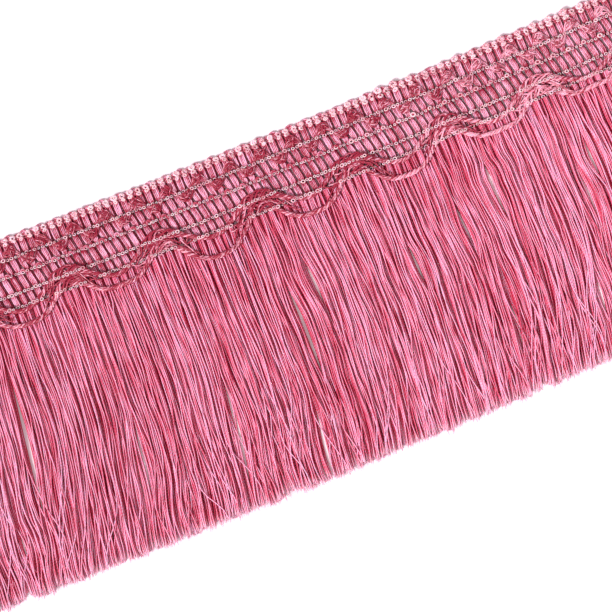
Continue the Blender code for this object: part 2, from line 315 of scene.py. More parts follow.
def lay(station, depth, height):
    """A point of the trim, which lies in a slight bow."""
    x = station * (1 + depth / BOW_RADIUS) + SHIFT_X
    y = station**2 / (2 * BOW_RADIUS) - depth + SHIFT_Y
    return Vector((x, y, height))


def slip(depth):
    """How far aside a bar has slipped at this depth."""
    return between(SLIPS, depth, lambda row: row.depth, lambda row: row.aside)


def ripple(*place):
    """Smooth noise from -1 to 1."""
    return noise.noise(Vector(place))


def serpentine_depth(station, crest_depth, hang, fullness):
    """Depth of a serpentine, which swings down from each crest and back up to the next."""
    for scallop, following in zip(SCALLOPS, SCALLOPS[1:]):
        if station <= following.crest:
            share = 2 * (station - scallop.crest) / (following.crest - scallop.crest)
            sag = fullness * math.sin(math.pi * share) ** 2
            return crest_depth + (getattr(scallop, hang) - crest_depth) * ease(share) + sag
    return crest_depth


def upper_serpentine(station):
    """Depth of the cord that lies nearer to the looped edge."""
    return serpentine_depth(station, UPPER_CREST_DEPTH, "upper_hang", UPPER_FULLNESS)


def lower_serpentine(station):
    """Depth of the cord that hangs over the heading's lower edge."""
    return serpentine_depth(station, LOWER_CREST_DEPTH, "lower_hang", LOWER_FULLNESS)


def zigzag_wave(station):
    """1 where the zigzag turns nearest to the looped edge, -1 where it turns farthest from it."""
    return math.cos(2 * math.pi * (station - ZIGZAG_CREST) / ZIGZAG_PERIOD)


def zigzag(station):
    """Depth of the zigzag, which lingers at its crests and crosses the chain row steeply."""
    wave = zigzag_wave(station)
    return ZIGZAG_DEPTH - ZIGZAG_SWING * math.copysign(abs(wave) ** 0.75, wave)


def slope_of(route, station):
    """How steeply a route runs, and how much longer that makes each step along it."""
    slope = (route(station + NEARBY) - route(station - NEARBY)) / (2 * NEARBY)
    return slope, math.hypot(1, slope)


def cord_spread(route, crest_depth, station):
    """How far the plies of a cord stand from its middle: they fan out at each crest."""
    crest = nearness(route(station) - crest_depth, 3.5 * MM)
    return CORD_RADIUS + CREST_SPREAD * ease(crest)


def tangled_here(station, depth):
    """1 between the two cords at a crest, where loose floss fills the space, falling to 0 around it."""
    crest_aside = min(abs(station - scallop.crest) for scallop in SCALLOPS)
    along = nearness(crest_aside, 9 * MM)
    across = nearness(abs(depth - (UPPER_CREST_DEPTH + LOWER_CREST_DEPTH) / 2), 3 * MM)
    return ease(along) * ease(across)


def turning_here(station, depth):
    """1 under the floss where the zigzag turns, falling to 0 around it."""
    across = nearness(abs(depth - zigzag(station)), 1.8 * MM)
    return zigzag_wave(station) ** 2 * ease(across)


def surface_at(station, depth):
    """How high the weft and the gimps on it reach at a place, for a stitch that crosses them."""
    height = SURFACE
    cords = ((upper_serpentine, UPPER_CREST_DEPTH), (lower_serpentine, LOWER_CREST_DEPTH))
    for route, crest_depth in cords:
        half_cord = cord_spread(route, crest_depth, station) + PLY_RADIUS
        aside = abs(depth - route(station)) * 0.8
        if aside < half_cord:
            height = max(height, CORD_HEIGHT + 0.6 * MM * math.sqrt(1 - (aside / half_cord) ** 2))
    aside = abs(depth - zigzag(station)) * 0.7
    if aside < 0.8 * MM:
        height = max(height, ZIGZAG_HEIGHT + FLOSS_RADIUS)
    return height


# Materials

def add_node(tree, kind, **settings):
    """A new node of this kind, with these settings."""
    node = tree.nodes.new(kind)
    for name, value in settings.items():
        setattr(node, name, value)
    return node


def math_node(tree, operation, *values, clamp=False):
    """A Math node whose inputs are numbers or other nodes' outputs."""
    node = add_node(tree, "ShaderNodeMath", operation=operation, use_clamp=clamp)
    for socket, value in zip(node.inputs, values):
        if isinstance(value, (int, float)):
            socket.default_value = value
        else:
            tree.links.new(value, socket)
    return node.outputs[0]


def mix_colours(tree, factor, first, second):
    """The first colour where the factor is 0, and the second where it is 1."""
    node = add_node(tree, "ShaderNodeMix", data_type="RGBA")
    for socket, value in ((node.inputs[0], factor), (node.inputs[6], first), (node.inputs[7], second)):
        tree.links.new(value, socket)
    return node.outputs[2]


def read_attribute(tree, name, output):
    """What a yarn or stitch says of itself under this name."""
    return add_node(tree, "ShaderNodeAttribute", attribute_name=name).outputs[output]


def streaks(tree, along, across, seed, scale, detail):
    """Noise stretched along a yarn."""
    place = add_node(tree, "ShaderNodeCombineXYZ")
    for socket, value in zip(place.inputs, (along, across, seed)):
        tree.links.new(value, socket)
    texture = add_node(tree, "ShaderNodeTexNoise")
    texture.inputs["Scale"].default_value = scale
    texture.inputs["Detail"].default_value = detail
    tree.links.new(place.outputs[0], texture.inputs["Vector"])
    return texture.outputs[0]


def start_look(name, colours, numbers):
    """A shader group with these inputs, which puts out a colour and a height."""
    tree = bpy.data.node_groups.new(name, "ShaderNodeTree")
    for colour in colours:
        tree.interface.new_socket(colour, in_out="INPUT", socket_type="NodeSocketColor")
    for number in numbers:
        tree.interface.new_socket(number, in_out="INPUT", socket_type="NodeSocketFloat")
    tree.interface.new_socket("Colour", in_out="OUTPUT", socket_type="NodeSocketColor")
    tree.interface.new_socket("Height", in_out="OUTPUT", socket_type="NodeSocketFloat")
    given = add_node(tree, "NodeGroupInput").outputs
    result = add_node(tree, "NodeGroupOutput").inputs
    return tree, given, result


def twisted_yarn_group():
    """Two plies wound round each other, streaked with fibres, with painted shade in their grooves and
    creases, a painted highlight along their tops, and paler where cut.
    """
    colours = ("Deep", "Pale", "Crease", "Cut end")
    numbers = ("Turns", "Patches", "Contrast", "Crown")
    tree, given, result = start_look("twisted_yarn", colours, numbers)

    along = read_attribute(tree, "along", "Fac")
    tint = read_attribute(tree, "tint", "Fac")
    tip = read_attribute(tree, "tip", "Fac")
    ring = add_node(tree, "ShaderNodeSeparateXYZ")
    tree.links.new(read_attribute(tree, "ring", "Vector"), ring.inputs[0])
    angle = math_node(tree, "ARCTAN2", ring.outputs[1], ring.outputs[0])
    wound = math_node(tree, "MULTIPLY", along, given["Turns"])
    started = math_node(tree, "MULTIPLY", tint, 37.0)
    turn = math_node(tree, "ADD", math_node(tree, "SUBTRACT", angle, wound), started)
    ply = math_node(tree, "ABSOLUTE", math_node(tree, "COSINE", turn))

    seed = math_node(tree, "MULTIPLY", tint, 61.0)
    fibres = streaks(tree, math_node(tree, "MULTIPLY", along, 200.0), ring.outputs[0], seed, 3.0, 2.0)
    patches = streaks(tree, math_node(tree, "MULTIPLY", along, given["Patches"]), seed, seed, 1.0, 1.0)
    # Painted highlight: each yarn is drawn paler where its surface faces up and deeper on its sides, as
    # light from above would make it
    facing = add_node(tree, "ShaderNodeSeparateXYZ")
    tree.links.new(add_node(tree, "ShaderNodeNewGeometry").outputs["Normal"], facing.inputs[0])
    crown = math_node(tree, "MULTIPLY", facing.outputs[2], facing.outputs[2])
    # The shade attribute darkens the yarn: mostly painted shade where it lies under, behind or pressed by
    # other yarns, with some random and gimp darkening
    shade = read_attribute(tree, "shade", "Fac")
    patched = math_node(tree, "MULTIPLY", math_node(tree, "SUBTRACT", patches, 0.5), 2.4)
    light = math_node(tree, "ADD", math_node(tree, "SUBTRACT", tint, 0.5), patched)
    light = math_node(tree, "MULTIPLY", light, given["Contrast"])
    light = math_node(tree, "MULTIPLY_ADD", math_node(tree, "SUBTRACT", fibres, 0.5), 0.7, light)
    # Painted shade in the grooves between the two plies, following their real twist, and paler on the
    # plies' crests
    light = math_node(tree, "MULTIPLY_ADD", math_node(tree, "SUBTRACT", ply, 0.55), 0.6, light)
    light = math_node(tree, "ADD", light, math_node(tree, "MULTIPLY", crown, given["Crown"]))
    light = math_node(tree, "SUBTRACT", light, shade, clamp=True)
    colour = mix_colours(tree, light, given["Deep"], given["Pale"])
    # Painted shade: where the shade passes 1 the colour runs on into the crease shade colour
    crease_shadow = math_node(tree, "SUBTRACT", shade, 1.0, clamp=True)
    colour = mix_colours(tree, crease_shadow, colour, given["Crease"])
    frayed = math_node(tree, "MULTIPLY", tip, math_node(tree, "ADD", fibres, 0.3), clamp=True)
    tree.links.new(mix_colours(tree, frayed, colour, given["Cut end"]), result["Colour"])
    relief = math_node(tree, "MULTIPLY", ply, 0.6)
    tree.links.new(math_node(tree, "MULTIPLY_ADD", fibres, 0.5, relief), result["Height"])
    return tree


def spun_thread_group():
    """Thread of two plies wound round each other, uneven in colour, with painted shade in the grooves
    between the plies.
    """
    tree, given, result = start_look("spun_thread", ("Deep", "Pale"), ("Grain", "Turns"))
    place = add_node(tree, "ShaderNodeTexCoord").outputs["Object"]
    grain = add_node(tree, "ShaderNodeTexNoise")
    grain.inputs["Detail"].default_value = 2.0
    tree.links.new(place, grain.inputs["Vector"])
    tree.links.new(given["Grain"], grain.inputs["Scale"])
    round_stitch = add_node(tree, "ShaderNodeSeparateXYZ")
    tree.links.new(add_node(tree, "ShaderNodeUVMap", uv_map="UVMap").outputs[0], round_stitch.inputs[0])
    turn = math_node(tree, "MULTIPLY_ADD", round_stitch.outputs[0], given["Turns"], round_stitch.outputs[1])
    ply = math_node(tree, "ABSOLUTE", math_node(tree, "COSINE", math_node(tree, "MULTIPLY", turn, math.pi)))
    tint = read_attribute(tree, "tint", "Fac")
    light = math_node(tree, "MULTIPLY_ADD", grain.outputs[0], 1.6, tint)
    # Painted shade in the grooves between the plies
    light = math_node(tree, "MULTIPLY_ADD", math_node(tree, "SUBTRACT", ply, 1.0), 0.5, light)
    light = math_node(tree, "SUBTRACT", light, 0.24, clamp=True)
    tree.links.new(mix_colours(tree, light, given["Deep"], given["Pale"]), result["Colour"])
    tree.links.new(math_node(tree, "MULTIPLY_ADD", grain.outputs[0], 0.4, ply), result["Height"])
    return tree


def fibre_material(name, group, roughness, relief, **values):
    """A glossy fibre whose colour and relief come from a group."""
    material = bpy.data.materials.new(name)
    material.use_nodes = True
    tree = material.node_tree
    shader = tree.nodes["Principled BSDF"]
    shader.inputs["Roughness"].default_value = roughness
    shader.inputs["Specular IOR Level"].default_value = FIBRE_SPECULAR
    shader.inputs["Subsurface Weight"].default_value = GLOW
    shader.inputs["Subsurface Radius"].default_value = GLOW_COLOURS
    shader.inputs["Subsurface Scale"].default_value = GLOW_DEPTH
    look = add_node(tree, "ShaderNodeGroup", node_tree=group)
    for socket, value in values.items():
        look.inputs[socket.replace("_", " ")].default_value = value
    tree.links.new(look.outputs["Colour"], shader.inputs["Base Color"])
    bump = add_node(tree, "ShaderNodeBump")
    bump.inputs["Strength"].default_value = RELIEF_STRENGTH
    bump.inputs["Distance"].default_value = relief
    tree.links.new(look.outputs["Height"], bump.inputs["Height"])
    tree.links.new(bump.outputs["Normal"], shader.inputs["Normal"])
    return material


# Making yarns

def line_piece(name, points, edges):
    """A new piece of loose points, or of lines between them."""
    mesh = bpy.data.meshes.new(name)
    mesh.from_pydata(points, edges, [])
    piece = bpy.data.objects.new(name, mesh)
    bpy.context.scene.collection.objects.link(piece)
    return piece


def add_attribute(piece, name, values):
    """Gives each point of a piece a value under this name."""
    piece.data.attributes.new(name, "FLOAT", "POINT").data.foreach_set("value", values)


def apply_nodes(piece, group):
    """Runs a geometry group on a piece and keeps what comes out as its mesh."""
    modifier = piece.modifiers.new(group.name, "NODES")
    modifier.node_group = group
    bpy.ops.object.select_all(action="DESELECT")
    piece.select_set(True)
    bpy.context.view_layer.objects.active = piece
    bpy.ops.object.modifier_apply(modifier=modifier.name)


def start_geometry(name):
    """A geometry group, and the geometry that goes into it."""
    tree = bpy.data.node_groups.new(name, "GeometryNodeTree")
    tree.interface.new_socket("Geometry", in_out="INPUT", socket_type="NodeSocketGeometry")
    tree.interface.new_socket("Geometry", in_out="OUTPUT", socket_type="NodeSocketGeometry")
    return tree, add_node(tree, "NodeGroupInput").outputs[0]


def named_value(tree, name, kind="FLOAT"):
    """What each point says of itself under this name."""
    node = add_node(tree, "GeometryNodeInputNamedAttribute", data_type=kind)
    node.inputs["Name"].default_value = name
    return node.outputs[0]


def store(tree, geometry, name, value, kind="FLOAT"):
    """Keeps a value on each point under this name."""
    node = add_node(tree, "GeometryNodeStoreNamedAttribute", data_type=kind, domain="POINT")
    node.inputs["Name"].default_value = name
    tree.links.new(geometry, node.inputs["Geometry"])
    tree.links.new(value, node.inputs["Value"])
    return node.outputs[0]


def round_yarn_group(sides):
    """Turns each line into a closed round tube that remembers its length and its way round."""
    tree, lines = start_geometry(f"round_yarn_{sides}")
    curve = add_node(tree, "GeometryNodeMeshToCurve")
    tree.links.new(lines, curve.inputs[0])
    length = add_node(tree, "GeometryNodeSplineParameter").outputs["Length"]
    measured = store(tree, curve.outputs[0], "along", length)
    circle = add_node(tree, "GeometryNodeCurvePrimitiveCircle")
    circle.inputs["Resolution"].default_value = sides
    circle.inputs["Radius"].default_value = 1.0
    position = add_node(tree, "GeometryNodeInputPosition").outputs[0]
    profile = store(tree, circle.outputs[0], "ring", position, "FLOAT_VECTOR")
    tube = add_node(tree, "GeometryNodeCurveToMesh")
    tube.inputs["Fill Caps"].default_value = True
    tree.links.new(measured, tube.inputs["Curve"])
    tree.links.new(profile, tube.inputs["Profile Curve"])
    tree.links.new(named_value(tree, "radius_here"), tube.inputs["Scale"])
    smooth = add_node(tree, "GeometryNodeSetShadeSmooth")
    tree.links.new(tube.outputs[0], smooth.inputs[0])
    tree.links.new(smooth.outputs[0], add_node(tree, "NodeGroupOutput").inputs[0])
    return tree


def spin_yarns(name, yarns, sides, material, fray=0.0):
    """One piece made of many yarns. fray is how far from its end a cut yarn turns pale."""
    points, edges, radii, tints, tips, shades = [], [], [], [], [], []
    for yarn in yarns:
        first = len(points)
        last = len(yarn.points) - 1
        for index, point in enumerate(yarn.points):
            if index:
                edges.append((first + index - 1, first + index))
            points.append(point)
            radii.append(yarn.radii[index])
            tints.append(yarn.tint)
            shades.append(yarn.shades[index] if yarn.shades else 0.0)
            reach = (point - yarn.points[last]).length
            tips.append(nearness(reach, fray) if fray else 0.0)
    piece = line_piece(name, points, edges)
    add_attribute(piece, "radius_here", radii)
    add_attribute(piece, "tint", tints)
    add_attribute(piece, "tip", tips)
    add_attribute(piece, "shade", shades)
    apply_nodes(piece, round_yarn_group(sides))
    return finish_piece(piece, material)


def finish_piece(piece, material):
    """Gives a piece its material and its place on the trim."""
    piece.data.materials.clear()
    piece.data.materials.append(material)
    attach(piece, "root")
    return piece


# Heading

def bar_station(bar):
    """Where the middle of a bar is."""
    return (bar + 0.5 - BARS / 2) * BAR_PITCH


def row_nearness(depth):
    """1 at a chain row, falling to 0 half way to the next one."""
    nearest = min(abs(depth - row.depth) for row in CHAIN_ROWS)
    return nearness(nearest, 2.2 * MM) ** 2


def weft_depths():
    """Where the yarns of a bar have points: close together at each chain row."""
    depths = [WEFT_TOP_DEPTH]
    for row in CHAIN_ROWS:
        start, end = depths[-1], row.depth - PINCH
        depths += [start + (end - start) * share for share in (0.25, 0.5, 0.75, 1.0)]
        depths += [row.depth, row.depth + PINCH]
    return depths


def weft_yarns(offsets, height, aside_all, press, hidden, seed):
    """Parallel yarns of each bar, gripped by each row and pushed aside by the arches. They carry painted
    shade where each row presses them, behind the looped edge and under the gimps, and all over if hidden.
    """
    rng = random.Random(seed)
    yarns = []
    for bar in range(BARS):
        arch_side = 1 if bar % 2 == 0 else -1
        bar_tint = rng.random()
        bar_shade = rng.uniform(-0.15, 0.15)
        for aside in offsets:
            tint = 0.30 * bar_tint + 0.90 * rng.random()
            wave = rng.uniform(0, 100)
            rise = rng.uniform(-0.10, 0.10) * MM
            points = []
            shades = []
            for depth in weft_depths():
                pressed = row_nearness(depth)
                swell = 1.10 - 0.12 * eased_rise(depth, 0.0, 12 * MM)
                width = (1 + (PRESSED_SHARE - 1) * pressed) * swell
                wander = 0.12 * MM * ripple(wave, depth / (3 * MM), 0.0)
                beside = nearness(abs(aside - arch_side * BAR_PITCH / 2), 2.2 * MM)
                push = ARCH_PUSH * beside * math.exp(-(((depth - ARCH_DEPTH) / (0.9 * MM)) ** 2))
                station = bar_station(bar) + aside * width + aside_all + slip(depth) + wander
                puff = PUFF * (1 - pressed) - press * pressed**3
                points.append(lay(station - arch_side * push, depth, height + puff + rise))
                # Painted shade: darker where a row presses the yarn into a crease, behind the looped edge,
                # under the gimps and on hidden yarns; the bar's own tone differs at random
                edge = nearness(depth - WEFT_TOP_DEPTH, 1.8 * MM)
                under = 0.5 * tangled_here(bar_station(bar), depth) + 0.5 * turning_here(station, depth)
                shades.append(hidden + bar_shade + 0.6 * pressed + 1.8 * pressed**6 + 1.3 * edge + under)
            yarns.append(Yarn(points, [WEFT_RADIUS] * len(points), tint, shades))
    return yarns


def edge_yarns(rng):
    """Yarns laid in along the looped edge, behind its stitches, drawn with painted shade so that the gaps
    there read as shadow.
    """
    yarns = []
    for edge_depth in EDGE_DEPTHS:
        points = []
        for bar in range(BARS):
            depth = edge_depth + 0.15 * MM * ripple(bar * 0.7, edge_depth * 1000, 6.0)
            points.append(lay(bar_station(bar), depth, 0.75 * MM))
        # Painted shade over their whole length
        yarns.append(Yarn(points, [EDGE_YARN_RADIUS] * BARS, rng.random(), [1.2] * BARS))
    return yarns


def selvedge_loops(rng):
    """The weft turning back at the edge, from one bar to the next."""
    yarns = []
    for bar in range(BARS - 1):
        tall = bar % 2 == 0
        crown = rng.uniform(-0.05, 0.25) * MM if tall else 0.55 * MM
        half = BAR_PITCH * (0.66 if tall else 0.5)
        middle = bar_station(bar) + BAR_PITCH / 2 + rng.uniform(-0.25, 0.25) * MM
        for strand in (0, 1, 2):
            points = []
            shades = []
            for step in range(ARC_STEPS + 1):
                angle = math.pi * step / ARC_STEPS
                reach = 1 - 0.2 * strand
                station = middle - half * reach * math.cos(angle)
                depth = LOOP_FOOT_DEPTH - (LOOP_FOOT_DEPTH - crown) * reach * math.sin(angle)
                height = (0.65 + 0.22 * strand + 0.15 * math.sin(angle)) * MM
                points.append(lay(station, depth, height))
                # Painted shade: the loops turn darker away from the edge, where they lie under the selvedge
                # stitches
                shades.append(min(1.7, max(0.15, (depth - 0.5 * MM) / (0.5 * MM))))
            yarns.append(Yarn(points, [LOOP_RADIUS] * len(points), rng.random(), shades))
    return yarns


def edge_threads(rng):
    """Binding thread that runs along the selvedge, from stitch to stitch."""
    yarns = []
    for middle, swing in EDGE_THREADS:
        for strand in (0, 1):
            wave = rng.uniform(0, 100)
            points = []
            shades = []
            for step in range(THREAD_STEPS * BARS + 1):
                station = -LENGTH / 2 + step / THREAD_STEPS * BAR_PITCH
                between_bars = math.cos(2 * math.pi * step / THREAD_STEPS)
                side = 0.45 * MM * ripple(wave, station / (1.3 * MM), 0.0) + (strand - 0.5) * 0.35 * MM
                height = (1.25 - 0.25 * between_bars) * MM
                height += 0.2 * MM * ripple(wave, station / (1.1 * MM), 3.0)
                points.append(lay(station, middle + swing * between_bars + side, height))
                # Painted shade: darker where the thread dips between the bars
                shades.append(0.10 + 0.5 * between_bars)
            yarns.append(Yarn(points, [LOOP_RADIUS] * len(points), rng.uniform(0.4, 0.8), shades))
    return yarns


def arches(rng):
    """Bits of weft that stand up in an arch at every second gap of the third row, drawn with painted shade
    for the shadow round each arch.
    """
    yarns = []
    depth_of_row = next(row.depth for row in CHAIN_ROWS if row.arched)
    for bar in range(0, BARS - 1, 2):
        middle = bar_station(bar) + BAR_PITCH / 2 + slip(depth_of_row) + rng.uniform(-0.12, 0.12) * MM
        half = rng.uniform(0.80, 1.00) * MM
        crown = rng.uniform(1.05, 1.35) * MM
        for strand in (0, 1):
            points = []
            for step in range(ARC_STEPS + 1):
                angle = math.pi * step / ARC_STEPS
                reach = 1 - 0.30 * strand
                station = middle - half * reach * math.cos(angle)
                depth = depth_of_row + 0.35 * MM - crown * reach * math.sin(angle)
                height = SURFACE + (0.50 * math.sin(angle) - 0.10 - 0.1 * strand) * MM
                points.append(lay(station, depth, height))
            # Painted shade, deeper on the inner strand
            shades = [0.45 + 0.3 * strand] * len(points)
            yarns.append(Yarn(points, [ARCH_RADIUS] * len(points), rng.random(), shades))
    return yarns


def stitch_shape(kind):
    """One loop of thread, lying flat."""
    bpy.ops.object.select_all(action="DESELECT")
    bpy.ops.mesh.primitive_torus_add(
        major_segments=kind.around,
        minor_segments=kind.sides,
        major_radius=kind.length / 2 - kind.thread,
        minor_radius=kind.thread,
    )
    shape = bpy.context.object
    shape.name = kind.name
    bpy.ops.object.mode_set(mode="EDIT")
    bpy.ops.mesh.select_all(action="SELECT")
    bpy.ops.transform.resize(value=(1, kind.width / kind.length, 1))
    bpy.ops.object.mode_set(mode="OBJECT")
    bpy.ops.object.shade_smooth()
    return shape


def stitch_group(shape):
    """Sets a copy of one stitch at each point, turned and sized as the point says."""
    tree, places = start_geometry(f"lay_{shape.name}")
    stitch = add_node(tree, "GeometryNodeObjectInfo")
    stitch.inputs["Object"].default_value = shape
    laid = add_node(tree, "GeometryNodeInstanceOnPoints")
    rotation = add_node(tree, "FunctionNodeEulerToRotation")
    real = add_node(tree, "GeometryNodeRealizeInstances")
    tree.links.new(places, laid.inputs["Points"])
    tree.links.new(stitch.outputs["Geometry"], laid.inputs["Instance"])
    tree.links.new(named_value(tree, "turn", "FLOAT_VECTOR"), rotation.inputs[0])
    tree.links.new(rotation.outputs[0], laid.inputs["Rotation"])
    tree.links.new(named_value(tree, "size"), laid.inputs["Scale"])
    tree.links.new(laid.outputs[0], real.inputs[0])
    tree.links.new(real.outputs[0], add_node(tree, "NodeGroupOutput").inputs[0])
    return tree


Stitch = namedtuple("Stitch", "place turn size tint")


def lay_stitches(name, kind, stitches, thread):
    """One piece made of many stitches of a kind, each at its place."""
    shape = stitch_shape(kind)
    piece = line_piece(name, [stitch.place for stitch in stitches], [])
    turns = [angle for stitch in stitches for angle in stitch.turn]
    piece.data.attributes.new("turn", "FLOAT_VECTOR", "POINT").data.foreach_set("vector", turns)
    add_attribute(piece, "size", [stitch.size for stitch in stitches])
    add_attribute(piece, "tint", [stitch.tint for stitch in stitches])
    apply_nodes(piece, stitch_group(shape))
    bpy.data.objects.remove(shape, do_unlink=True)
    return finish_piece(piece, thread)


def row_wander(station, row):
    """How far a chain row strays from its straight line."""
    return 0.15 * MM * ripple(station / (9 * MM), row.depth * 1000, 3.0)


def chain_stitch(rng, station, depth, size=1.0, raised=0.0):
    """One stitch of a chain row, lying on the yarns that it binds, none quite like the next."""
    station += rng.uniform(-0.18, 0.18) * MM
    depth += rng.uniform(-0.14, 0.14) * MM
    height = surface_at(station, depth) + 0.6 * THREAD_RADIUS + raised
    bow = station / BOW_RADIUS
    turn = (rng.uniform(-0.35, 0.35), rng.uniform(-0.25, 0.25), bow + rng.uniform(-0.5, 0.5))
    return Stitch(lay(station, depth, height), turn, size * rng.uniform(0.85, 1.15), rng.uniform(0.0, 0.8))


def chain_rings(rng):
    """One ring to a bar, or to every second gap in the arched row, where they grow towards the right."""
    stitches = []
    for row in CHAIN_ROWS:
        for bar in range(BARS):
            aside = BAR_PITCH / 2 if row.arched else 0.0
            if row.arched and bar % 2:
                continue
            station = bar_station(bar) + slip(row.depth) + aside
            grown = eased_rise(station, 20 * MM, 20 * MM) if row.arched else 0.0
            raised = 0.45 * MM * grown
            depth = row.depth + row_wander(station, row) - raised
            stitches.append(chain_stitch(rng, station, depth, 1 + 0.25 * grown, raised))
    return stitches


def chain_pearls(rng):
    """The small stitches between the rings, and on each bar in the arched row."""
    stitches = []
    for row in CHAIN_ROWS:
        for bar in range(BARS):
            places = (0.0, 0.5) if row.arched else (0.5,)
            for aside in places:
                if row.arched and aside and bar % 2 == 0:
                    continue
                station = bar_station(bar) + slip(row.depth) + aside * BAR_PITCH
                stitches.append(chain_stitch(rng, station, row.depth + row_wander(station, row)))
    return stitches


def selvedge_stitches(rng, depth, height, size_change):
    """One stitch to a bar. Towards the right every second one is larger and the rest smaller."""
    stitches = []
    for bar in range(BARS):
        station = bar_station(bar) + rng.uniform(-0.2, 0.2) * MM
        uneven = 0.04 + 0.16 * eased_rise(station, 30 * MM, 15 * MM)
        size = (1 + uneven if bar % 2 == 0 else 1 - uneven) * rng.uniform(0.90, 1.10)
        bow = station / BOW_RADIUS
        turn = (rng.uniform(-0.35, 0.35), rng.uniform(-0.35, 0.35), bow + rng.uniform(-0.5, 0.5))
        lower = size_change * (1 - size) + rng.uniform(-0.08, 0.08) * MM
        stitches.append(Stitch(lay(station, depth + lower, height), turn, size, rng.uniform(0.0, 0.7)))
    return stitches


# Gimps

def zigzag_strands(rng):
    """The floss, strand beside strand. They spread and stray where it turns."""
    yarns = []
    step_length = ZIGZAG_PERIOD / ZIGZAG_STEPS
    first = math.ceil(-LENGTH / 2 / step_length)
    last = math.floor((LENGTH / 2 - 1 * MM) / step_length)
    for strand in range(FLOSS_STRANDS):
        place = 2 * (strand + 0.5) / FLOSS_STRANDS - 1
        wave = rng.uniform(0, 100)
        points = []
        shades = []
        for step in range(first, last + 1):
            station = step * step_length
            turning = zigzag_wave(station) ** 2
            half_width = FLOSS_HALF_WIDTH + FLOSS_SPREAD * turning
            wander = 1.3 * MM * turning * ripple(wave, station / (1.5 * MM), 0.0)
            slope, lean = slope_of(zigzag, station)
            offset = (place * half_width + wander) / lean
            height = ZIGZAG_HEIGHT + (0.55 * turning - 0.35) * MM
            height += 0.3 * MM * ripple(station / (1.6 * MM), wave, 5.0)
            points.append(lay(station - slope * offset / lean, zigzag(station) + offset, height))
            shades.append(rose_shade(station, turning))
        tint = FLOSS_TINTS[strand % len(FLOSS_TINTS)]
        yarns.append(Yarn(points, [FLOSS_RADIUS] * len(points), tint, shades))
    return yarns


def floss_strokes(rng):
    """Short loose filaments that lie over the floss where the zigzag turns."""
    yarns = []
    turns = int(LENGTH / ZIGZAG_PERIOD * 2)
    for number in range(-turns // 2, turns // 2 + 1):
        crest = ZIGZAG_CREST + number * ZIGZAG_PERIOD / 2
        if abs(crest) > LENGTH / 2 - 3 * MM:
            continue
        for _ in range(STROKES):
            middle = crest + rng.uniform(-1.3, 1.3) * MM
            depth = zigzag(middle) + rng.uniform(-1.0, 1.0) * MM
            way = rng.uniform(0.25, 1.1) * rng.choice((-1, 1, 1))
            half = rng.uniform(0.6, 1.3) * MM
            bend = rng.uniform(-0.4, 0.4) * MM
            points = []
            for step in range(5):
                share = step / 2 - 1
                station = middle + half * share * math.cos(way)
                across = half * share * math.sin(way) + bend * (1 - share**2)
                height = ZIGZAG_HEIGHT + (0.55 - 0.5 * share**2) * MM
                points.append(lay(station, depth - across, height))
            tint = rng.choice((0.1, 0.3, 1.0))
            shades = [rose_shade(middle, 1.0)] * len(points)
            yarns.append(Yarn(points, [STROKE_RADIUS] * len(points), tint, shades))
    return yarns


def rose_shade(station, crest):
    """How much darker the gimps are drawn, most of all at their crests, in slow random patches. Towards the
    right they pale.
    """
    deep = 1 - eased_rise(station, 25 * MM, 50 * MM)
    return deep * (0.55 + 0.40 * crest) - 0.38 + 0.5 * ripple(station / (9 * MM), 4.0, 9.0)


def cord_plies(route, crest_depth, dye, rng):
    """Plies that wind round a serpentine route, and fan out side by side at its crests."""
    yarns = []
    steps = int(LENGTH / CORD_STEP)
    ends = (-LENGTH / 2, LENGTH / 2 - 0.5 * MM)
    wave = rng.uniform(0, 100)
    for ply, tint in enumerate(PLY_TINTS):
        points = []
        shades = []
        turn = 2 * math.pi * ply / len(PLY_TINTS)
        for step in range(steps + 1):
            station = ends[0] + (ends[1] - ends[0]) * step / steps
            slope, lean = slope_of(route, station)
            spread = cord_spread(route, crest_depth, station)
            fanned = (spread - CORD_RADIUS) / CREST_SPREAD
            turn += 2 * math.pi * CORD_STEP * lean / PLY_TURN * (1 - 0.5 * fanned)
            loose = turn + 2.0 * ripple(wave, station / (7 * MM), ply * 0.4)
            reach = spread * (1 + 0.35 * ripple(wave, station / (4 * MM), ply + 7.0))
            offset = reach * math.cos(loose) / lean
            height = CORD_HEIGHT + CORD_RADIUS * 0.85 * math.sin(loose)
            points.append(lay(station - slope * offset, route(station) + offset, height))
            shades.append(dye + rose_shade(station, fanned))
        yarns.append(Yarn(points, [PLY_RADIUS] * len(points), tint, shades))
    return yarns


def tangled_strands(rng):
    """Loose floss that lies on and between the two cords at each crest."""
    yarns = []
    for scallop in SCALLOPS:
        if abs(scallop.crest) > LENGTH / 2 - 9 * MM:
            continue
        for _ in range(TANGLED_STRANDS):
            middle = scallop.crest + rng.uniform(-8, 8) * MM
            half = rng.uniform(1.2, 3.8) * MM
            shares = (rng.uniform(-0.1, 1.1), rng.uniform(-0.1, 1.1))
            wave = rng.uniform(0, 100)
            points = []
            for step in range(ARC_STEPS + 1):
                share = step / ARC_STEPS
                station = middle + half * (2 * share - 1)
                upper, lower = upper_serpentine(station), lower_serpentine(station)
                depth = upper + (lower - upper) * (shares[0] + (shares[1] - shares[0]) * share)
                depth += 0.9 * MM * ripple(wave, station / (2.5 * MM), 1.0)
                height = CORD_HEIGHT + 0.1 * MM + 0.5 * MM * ripple(wave, station / (2 * MM), 9.0)
                points.append(lay(station, depth, height))
            tint = rng.choice((0.05, 0.2, 0.35, 0.95))
            shades = [rose_shade(scallop.crest, 1.0)] * len(points)
            yarns.append(Yarn(points, [TANGLED_RADIUS] * len(points), tint, shades))
    return yarns


# Fringe

def falls_at(station):
    """The drift at no, one, two, three and four quarters of the fall, at this station."""
    fields = ("quarter", "half", "three_quarters", "tip")
    return [0.0] + [
        between(FALLS, station, lambda fall: fall.station, lambda fall: getattr(fall, field))
        for field in fields
    ]


